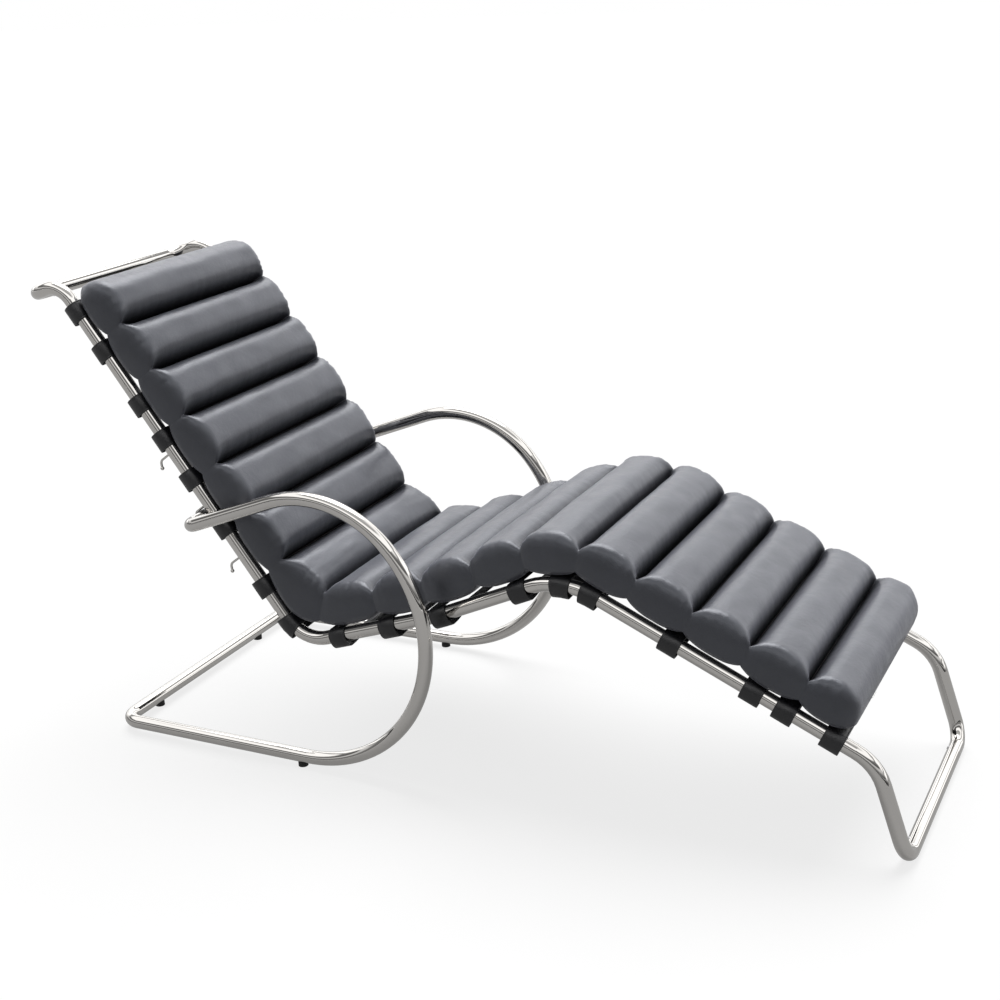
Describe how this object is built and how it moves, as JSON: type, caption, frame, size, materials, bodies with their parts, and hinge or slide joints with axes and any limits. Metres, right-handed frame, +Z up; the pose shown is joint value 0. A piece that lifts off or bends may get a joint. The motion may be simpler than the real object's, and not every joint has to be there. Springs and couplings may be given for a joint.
{
  "type": "cantilever lounge chair",
  "caption": "Cantilever lounge chair: bent chromed tube base and hooked-on seat frame, leather belts and a channelled leather cushion.",
  "frame": {"origin": "on the floor, under the middle of the whole chair", "axes": "+X towards the foot end, +Y towards the sitter's left, +Z up"},
  "size_m": [1.8216, 0.648, 0.9589],
  "materials": {
    "tube_chrome": "polished chrome plated steel tube",
    "screw_steel": "satin socket screws",
    "plug_steel": "plain turned steel, hidden in the tubes",
    "buckle_metal": "polished wire buckles",
    "glide_rubber": "matt black",
    "sleeve_plastic": "matt black",
    "belt_leather": "smooth black saddle leather",
    "cushion_leather": "satin dark grey leather, soft and slightly creased",
    "cushion_foam": "foam rolls in fibre wadding, hidden in the leather"
  },
  "bodies": {
    "base": {"base_floor_bar": "tube_chrome", "base_joint_plugs": "plug_steel", "base_joint_screws": "screw_steel", "base_side_tube_left": "tube_chrome", "base_side_tube_right": "tube_chrome", "base_upper_bar": "tube_chrome", "front_glide_left": "glide_rubber", "front_glide_right": "glide_rubber", "glide_screws": "screw_steel", "rear_glide_left": "glide_rubber", "rear_glide_right": "glide_rubber"},
    "bar_sleeves": {"bar_sleeve_left": "sleeve_plastic", "bar_sleeve_right": "sleeve_plastic"},
    "seat_frame": {"back_belt_1": "belt_leather", "back_belt_2": "belt_leather", "back_belt_3": "belt_leather", "back_belt_4": "belt_leather", "back_belt_5": "belt_leather", "back_belt_6": "belt_leather", "back_belt_7": "belt_leather", "back_belt_8": "belt_leather", "back_hook_lower_left": "tube_chrome", "back_hook_lower_right": "tube_chrome", "back_hook_middle_left": "tube_chrome", "back_hook_middle_right": "tube_chrome", "back_hook_upper_left": "tube_chrome", "back_hook_upper_right": "tube_chrome", "belt_buckles": "buckle_metal", "cushion_cover": "cushion_leather", "cushion_filling": "cushion_foam", "knee_belt": "belt_leather", "leg_belt_1": "belt_leather", "leg_belt_2": "belt_leather", "leg_belt_3": "belt_leather", "leg_belt_4": "belt_leather", "leg_belt_5": "belt_leather", "seat_belt_1": "belt_leather", "seat_belt_2": "belt_leather", "seat_belt_3": "belt_leather", "seat_belt_4": "belt_leather", "seat_foot_bar": "tube_chrome", "seat_joint_plugs": "plug_steel", "seat_joint_screws": "screw_steel", "seat_side_tube_left": "tube_chrome", "seat_side_tube_right": "tube_chrome", "seat_top_bar": "tube_chrome"}
  },
  "joints": [
    {"name": "frame_tilt", "type": "hinge", "parent": "base", "child": "bar_sleeves", "pos_m": [-0.51947, 0, 0.48274], "axis": [0, -1, 0], "range_deg": [0, 30]},
    {"name": "frame_lift", "type": "slide", "parent": "bar_sleeves", "child": "seat_frame", "axis": [0, 0, 1], "range_m": [0, 0.04]}
  ]
}
